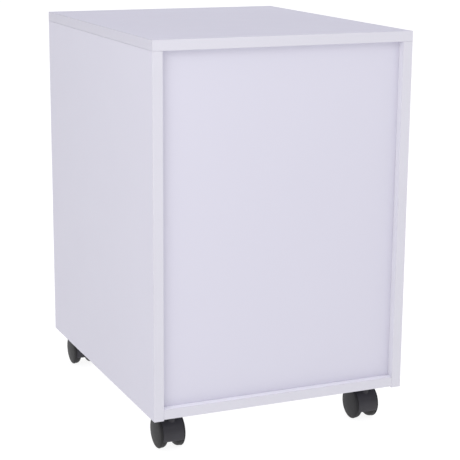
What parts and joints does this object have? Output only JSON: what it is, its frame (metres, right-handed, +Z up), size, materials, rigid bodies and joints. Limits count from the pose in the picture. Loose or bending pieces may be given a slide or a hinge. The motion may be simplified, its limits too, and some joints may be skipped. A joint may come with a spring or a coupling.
{
  "type": "rolling pedestal cabinet",
  "caption": "White under-desk pedestal cabinet with inset drawers on ball-bearing slides, a cam lock and twin-wheel swivel casters.",
  "frame": {"origin": "on the floor, under the centre of the overall box, handles included", "axes": "+Z up; the drawer fronts and handles face -Y, the recessed back panel faces +Y; +X is to the right seen from the front"},
  "size_m": [0.4, 0.515, 0.6],
  "materials": {
    "white_board": "white melamine-faced particle board, satin, with matching edge band",
    "drawer_board": "white melamine drawer board, matte",
    "handle_metal": "satin",
    "zinc_steel": "bright zinc plated",
    "lock_chrome": "polished",
    "hood_plastic": "black moulded nylon, fine grain",
    "wheel_plastic": "black moulded nylon, semi-gloss tread"
  },
  "bodies": {
    "carcass": {"top_panel": "white_board", "left_side_panel": "white_board", "right_side_panel": "white_board", "bottom_panel": "white_board", "back_panel": "white_board", "cam_fittings": "zinc_steel", "wood_screws": "zinc_steel", "caster_screws": "zinc_steel", "lock_strike": "zinc_steel", "upper_cabinet_rails": "zinc_steel", "middle_cabinet_rails": "zinc_steel", "file_cabinet_rails": "zinc_steel", "front_left_caster_plate": "zinc_steel", "front_right_caster_plate": "zinc_steel", "rear_left_caster_plate": "zinc_steel", "rear_right_caster_plate": "zinc_steel"},
    "upper_drawer": {"upper_drawer_front": "white_board", "upper_drawer_sides": "drawer_board", "upper_drawer_back": "drawer_board", "upper_drawer_bottom": "drawer_board", "upper_handle": "handle_metal", "upper_handle_screws": "zinc_steel", "upper_drawer_rails": "zinc_steel", "lock_housing": "lock_chrome"},
    "upper_slides": {"upper_slide_members": "zinc_steel"},
    "middle_drawer": {"middle_drawer_front": "white_board", "middle_drawer_sides": "drawer_board", "middle_drawer_back": "drawer_board", "middle_drawer_bottom": "drawer_board", "middle_handle": "handle_metal", "middle_handle_screws": "zinc_steel", "middle_drawer_rails": "zinc_steel"},
    "middle_slides": {"middle_slide_members": "zinc_steel"},
    "file_drawer": {"file_drawer_front": "white_board", "file_drawer_sides": "drawer_board", "file_drawer_back": "drawer_board", "file_drawer_bottom": "drawer_board", "file_handle": "handle_metal", "file_handle_screws": "zinc_steel", "file_drawer_rails": "zinc_steel", "hanging_rails": "zinc_steel"},
    "file_slides": {"file_slide_members": "zinc_steel"},
    "lock_barrel": {"lock_plug": "lock_chrome", "lock_cam": "zinc_steel"},
    "front_left_caster": {"front_left_caster_body": "hood_plastic", "front_left_axle": "zinc_steel"},
    "front_left_outer_roller": {"front_left_outer_wheel": "wheel_plastic"},
    "front_left_inner_roller": {"front_left_inner_wheel": "wheel_plastic"},
    "front_right_caster": {"front_right_caster_body": "hood_plastic", "front_right_axle": "zinc_steel"},
    "front_right_outer_roller": {"front_right_outer_wheel": "wheel_plastic"},
    "front_right_inner_roller": {"front_right_inner_wheel": "wheel_plastic"},
    "rear_left_caster": {"rear_left_caster_body": "hood_plastic", "rear_left_axle": "zinc_steel"},
    "rear_left_outer_roller": {"rear_left_outer_wheel": "wheel_plastic"},
    "rear_left_inner_roller": {"rear_left_inner_wheel": "wheel_plastic"},
    "rear_right_caster": {"rear_right_caster_body": "hood_plastic", "rear_right_axle": "zinc_steel"},
    "rear_right_outer_roller": {"rear_right_outer_wheel": "wheel_plastic"},
    "rear_right_inner_roller": {"rear_right_inner_wheel": "wheel_plastic"}
  },
  "joints": [
    {"name": "upper_drawer_slide", "type": "slide", "parent": "carcass", "child": "upper_drawer", "axis": [0, -1, 0], "range_m": [0, 0.4]},
    {"name": "upper_slides_extend", "type": "slide", "parent": "carcass", "child": "upper_slides", "axis": [0, -1, 0], "range_m": [0, 0.2]},
    {"name": "middle_drawer_slide", "type": "slide", "parent": "carcass", "child": "middle_drawer", "axis": [0, -1, 0], "range_m": [0, 0.4]},
    {"name": "middle_slides_extend", "type": "slide", "parent": "carcass", "child": "middle_slides", "axis": [0, -1, 0], "range_m": [0, 0.2]},
    {"name": "file_drawer_slide", "type": "slide", "parent": "carcass", "child": "file_drawer", "axis": [0, -1, 0], "range_m": [0, 0.4]},
    {"name": "file_slides_extend", "type": "slide", "parent": "carcass", "child": "file_slides", "axis": [0, -1, 0], "range_m": [0, 0.2]},
    {"name": "lock_turn", "type": "hinge", "parent": "upper_drawer", "child": "lock_barrel", "pos_m": [0.14, -0.2275, 0.566], "axis": [0, 1, 0], "range_deg": [0, 90]},
    {"name": "front_left_swivel", "type": "hinge", "parent": "carcass", "child": "front_left_caster", "pos_m": [-0.16, -0.1945, 0.054], "axis": [0, 0, 1], "continuous": true},
    {"name": "front_left_outer_spin", "type": "hinge", "parent": "front_left_caster", "child": "front_left_outer_roller", "pos_m": [-0.172, -0.2065, 0.025], "axis": [1, 0, 0], "continuous": true},
    {"name": "front_left_inner_spin", "type": "hinge", "parent": "front_left_caster", "child": "front_left_inner_roller", "pos_m": [-0.148, -0.2065, 0.025], "axis": [1, 0, 0], "continuous": true},
    {"name": "front_right_swivel", "type": "hinge", "parent": "carcass", "child": "front_right_caster", "pos_m": [0.16, -0.1945, 0.054], "axis": [0, 0, 1], "continuous": true},
    {"name": "front_right_outer_spin", "type": "hinge", "parent": "front_right_caster", "child": "front_right_outer_roller", "pos_m": [0.172, -0.2065, 0.025], "axis": [1, 0, 0], "continuous": true},
    {"name": "front_right_inner_spin", "type": "hinge", "parent": "front_right_caster", "child": "front_right_inner_roller", "pos_m": [0.148, -0.2065, 0.025], "axis": [1, 0, 0], "continuous": true},
    {"name": "rear_left_swivel", "type": "hinge", "parent": "carcass", "child": "rear_left_caster", "pos_m": [-0.16, 0.2185, 0.054], "axis": [0, 0, 1], "continuous": true},
    {"name": "rear_left_outer_spin", "type": "hinge", "parent": "rear_left_caster", "child": "rear_left_outer_roller", "pos_m": [-0.172, 0.2065, 0.025], "axis": [1, 0, 0], "continuous": true},
    {"name": "rear_left_inner_spin", "type": "hinge", "parent": "rear_left_caster", "child": "rear_left_inner_roller", "pos_m": [-0.148, 0.2065, 0.025], "axis": [1, 0, 0], "continuous": true},
    {"name": "rear_right_swivel", "type": "hinge", "parent": "carcass", "child": "rear_right_caster", "pos_m": [0.16, 0.2185, 0.054], "axis": [0, 0, 1], "continuous": true},
    {"name": "rear_right_outer_spin", "type": "hinge", "parent": "rear_right_caster", "child": "rear_right_outer_roller", "pos_m": [0.172, 0.2065, 0.025], "axis": [1, 0, 0], "continuous": true},
    {"name": "rear_right_inner_spin", "type": "hinge", "parent": "rear_right_caster", "child": "rear_right_inner_roller", "pos_m": [0.148, 0.2065, 0.025], "axis": [1, 0, 0], "continuous": true}
  ],
  "couplings": [
    {"joint": "upper_slides_extend", "follows": "upper_drawer_slide", "ratio": 0.5},
    {"joint": "middle_slides_extend", "follows": "middle_drawer_slide", "ratio": 0.5},
    {"joint": "file_slides_extend", "follows": "file_drawer_slide", "ratio": 0.5}
  ]
}
